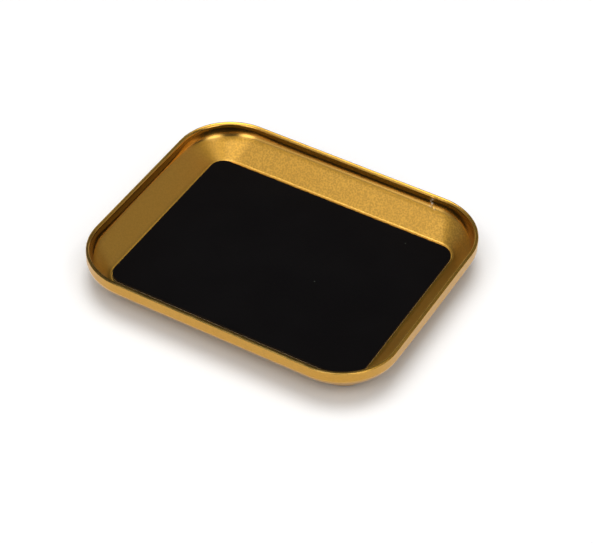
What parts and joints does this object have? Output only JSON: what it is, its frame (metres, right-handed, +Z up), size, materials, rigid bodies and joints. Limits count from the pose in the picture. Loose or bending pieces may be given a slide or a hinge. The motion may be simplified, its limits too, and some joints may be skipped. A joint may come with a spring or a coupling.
{
  "type": "magnetic parts tray",
  "caption": "Shallow rounded rectangular tray pressed from gold anodised sheet, with an upright lip, sloped flanks and a black magnetic pad on its floor that holds small steel parts.",
  "frame": {"origin": "middle of the flat underside, on the surface that the tray stands on", "axes": "+X along the longer sides, +Y along the shorter sides, +Z up, out of the tray's open side"},
  "size_m": [0.107, 0.088, 0.012],
  "materials": {
    "anodised_sheet": "satin gold anodised over a fine blasted grain",
    "adhesive": "clear tacky film",
    "flexible_magnet": "dark ferrite-filled rubber with a cut edge",
    "black_facing": "matt black vinyl"
  },
  "bodies": {
    "root": {"tray_shell": "anodised_sheet", "adhesive_film": "adhesive", "magnet_sheet": "flexible_magnet", "pad_facing": "black_facing"}
  },
  "joints": []
}
